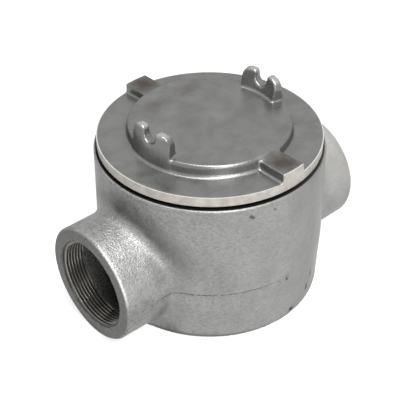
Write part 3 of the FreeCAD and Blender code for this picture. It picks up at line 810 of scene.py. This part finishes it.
def plug_thread_radius(turn, height):
    """Outside radius of the plug: a lead-in, the thread, and the plain neck under the flange."""
    if height > neck_start:
        return neck_radius
    crest = plug_radius + plug_tooth * tooth_wave(turn, height, cover_pitch)
    return min(crest, plug_radius - plug_tooth + height) if height < plug_lead else crest


def core_wall_radius(turn, height):
    """Inside radius of the plug, drawn in to the ceiling above the flange's underside."""
    above = max(0.0, plug_bottom - run_past + height - flange_bottom)
    return core_radius - (core_radius - ceiling_radius) * above / (ceiling_height - flange_bottom)


plug = threaded_rod("plug", plug_length + run_past / 4, cover_pitch, plug_thread_radius)
machine(cover, set_at(plug, (0, 0, plug_bottom)), "UNION")
core = threaded_rod("core", ceiling_height - plug_bottom + run_past, cover_pitch, core_wall_radius)
machine(cover, set_at(core, (0, 0, plug_bottom - run_past)), "DIFFERENCE")
pick(cover)
bpy.ops.object.shade_smooth_by_angle(angle=smooth_angle)

# The cast faces are dark, with brown pads and stains, and painted highlights on the lug tops and along the
# rim's edge.
cast_dark = drifting_finish(
    "cast_dark", dark=(0.165, 0.165, 0.161), light=(0.225, 0.225, 0.22), patch_size=14 * mm,
    grain_size=0.9 * mm, grain_depth=0.05 * mm, metallic=0.7, roughness=0.28)
pad_middle = 63.0 * mm
pad_top = 119.6 * mm
pad_brown = (0.07, 0.056, 0.046)
pad_blot_reach, pad_share, pad_squash = 15 * mm, 0.9, (1, 1, 4)
stain_spots = ((-14 * mm, 35 * mm, 122 * mm), (12 * mm, 36 * mm, 122 * mm))
stain_reach, stain_share, stain_squash = 13 * mm, 0.4, (1, 1.5, 1)
lug_highlight = (0.5, 0.49, 0.48)
lug_highlight_zone = ("Z", cover_high.z - 2.4 * mm, cover_high.z, 0.0, 0.7)
rim_highlight = (0.8, 0.78, 0.74)
rim_edge_ends = (rim_radius + rim_left - 0.75 * mm, rim_radius + rim_left - 0.45 * mm, 0.0, 0.9)
for side in (-1, 1):
    pad_turn = cover_clock + side * math.pi / 2
    pad_spot = (pad_middle * math.cos(pad_turn), pad_middle * math.sin(pad_turn), pad_top)
    blot(cast_dark, pad_spot, pad_blot_reach, pad_brown, pad_share, pad_squash)
for stain_spot in stain_spots:
    blot(cast_dark, stain_spot, stain_reach, pad_brown, stain_share, stain_squash)
tree = cast_dark.node_tree
tint(cast_dark, lug_highlight, where(tree, lug_highlight_zone))
across = reach_of(tree, along(tree, "X"), along(tree, "Y"))
# Painted highlight along the rim's top edge.
tint(cast_dark, rim_highlight, climb(tree, across, *rim_edge_ends))
turned_rim = drifting_finish(
    "turned_rim", dark=(0.35, 0.332, 0.30), light=(0.55, 0.526, 0.484), patch_size=7 * mm,
    grain_size=0.5 * mm, grain_depth=0.02 * mm, metallic=0.5, roughness=0.35)
rim_depth = 0.15 * mm
rim_tilt = 0.3
under_flange = flange_bottom - 0.05 * mm


def is_rim(point, normal):
    """True on the turned outside of the flange and of the pads."""
    return from_axis(point) > rim_radius - rim_depth and abs(normal.z) < rim_tilt


def is_plug(point, normal):
    """True on the outside of the plug below the flange."""
    return point.z < under_flange and from_axis(point) > core_radius + run_past


cover.data.materials.clear()
cover.data.materials.append(cast_dark)
paint(cover, turned_rim, is_rim)
paint(cover, cut_thread, is_plug)
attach(cover, "cover")
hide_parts("screw_cover")

# Floor: a white sweep under the box, so bright that only a faint contact shadow shows.
# A tall soft box high above the front gives most of the light, a low one further left opens up the wall,
# and a weak one high up behind keeps the back of the box from going dark.
floor_size = 8.0
floor_tone = 0.45
floor_glow = 0.8
paper_roughness = 0.9
room_fill = 0.1
lamp_distance = 1.3
lamp_width = 0.5
lamp_aim = Vector((0, 0, 0.06))
bpy.ops.object.select_all(action="DESELECT")
bpy.ops.mesh.primitive_plane_add(size=floor_size)
floor = bpy.context.object
floor.name = "floor"


def seen_directly(tree):
    """Socket that is 1 for rays from the camera, off gloss or through glass, and 0 for the rest."""
    ray = add_node(tree, "ShaderNodeLightPath").outputs
    gloss = work_out(tree, "MAXIMUM", ray["Is Glossy Ray"], ray["Is Transmission Ray"])
    return work_out(tree, "MAXIMUM", ray["Is Camera Ray"], gloss)


floor_paper = bpy.data.materials.new("floor_paper")
floor_paper.use_nodes = True
tree = floor_paper.node_tree
shader = tree.nodes["Principled BSDF"]
shader.inputs["Base Color"].default_value = (floor_tone, floor_tone, floor_tone, 1)
shader.inputs["Roughness"].default_value = paper_roughness
shader.inputs["Specular IOR Level"].default_value = 0.0
shader.inputs["Emission Color"].default_value = (1, 1, 1, 1)
tree.links.new(product(tree, seen_directly(tree), floor_glow), shader.inputs["Emission Strength"])
floor.data.materials.append(floor_paper)

world = bpy.data.worlds.new("white_room")
bpy.context.scene.world = world
world.use_nodes = True
tree = world.node_tree
background = tree.nodes["Background"]
background.inputs["Color"].default_value = (1, 1, 1, 1)
tree.links.new(climb(tree, seen_directly(tree), 0.0, 1.0, room_fill, 1.0), background.inputs["Strength"])


def soft_box(name, turn, rise, height, power):
    """Area lamp that looks at the box, turned to the right of the front and raised, in degrees."""
    turn, rise = math.radians(turn), math.radians(rise)
    toward = Vector((math.sin(turn) * math.cos(rise), -math.cos(turn) * math.cos(rise), math.sin(rise)))
    bpy.ops.object.light_add(type="AREA", location=lamp_aim + toward * lamp_distance)
    lamp = bpy.context.object
    lamp.name = name
    lamp.rotation_euler = toward.to_track_quat("Z", "Y").to_euler()
    lamp.data.shape = "RECTANGLE"
    lamp.data.size = lamp_width
    lamp.data.size_y = height
    lamp.data.energy = power


soft_box("front_box", turn=-25, rise=16, height=0.5, power=5.6)
soft_box("top_box", turn=-14, rise=66, height=1.25, power=21.3)
soft_box("back_box", turn=-170, rise=78, height=0.5, power=3.5)

# Camera: it stands at the photograph's view, a long lens that looks down on the box from the front left,
# over the mouth of the left hub.
camera_turn = math.radians(-41.16)
camera_rise = math.radians(37.48)
camera_distance = 0.6814
camera_lens = 91.1
look_height = 0.0591
look_right = -0.00634
look_up = -0.00207
back = Vector((math.sin(camera_turn) * math.cos(camera_rise),
               -math.cos(camera_turn) * math.cos(camera_rise),
               math.sin(camera_rise)))
right = Vector((math.cos(camera_turn), math.sin(camera_turn), 0.0))
up = back.cross(right)
target = Vector((0.0, 0.0, look_height)) + right * look_right + up * look_up
bpy.ops.object.camera_add(location=target + back * camera_distance)
camera = bpy.context.object
camera.rotation_euler = back.to_track_quat("Z", "Y").to_euler()
camera.data.lens = camera_lens
bpy.context.scene.camera = camera
bpy.context.scene.view_settings.view_transform = "Standard"
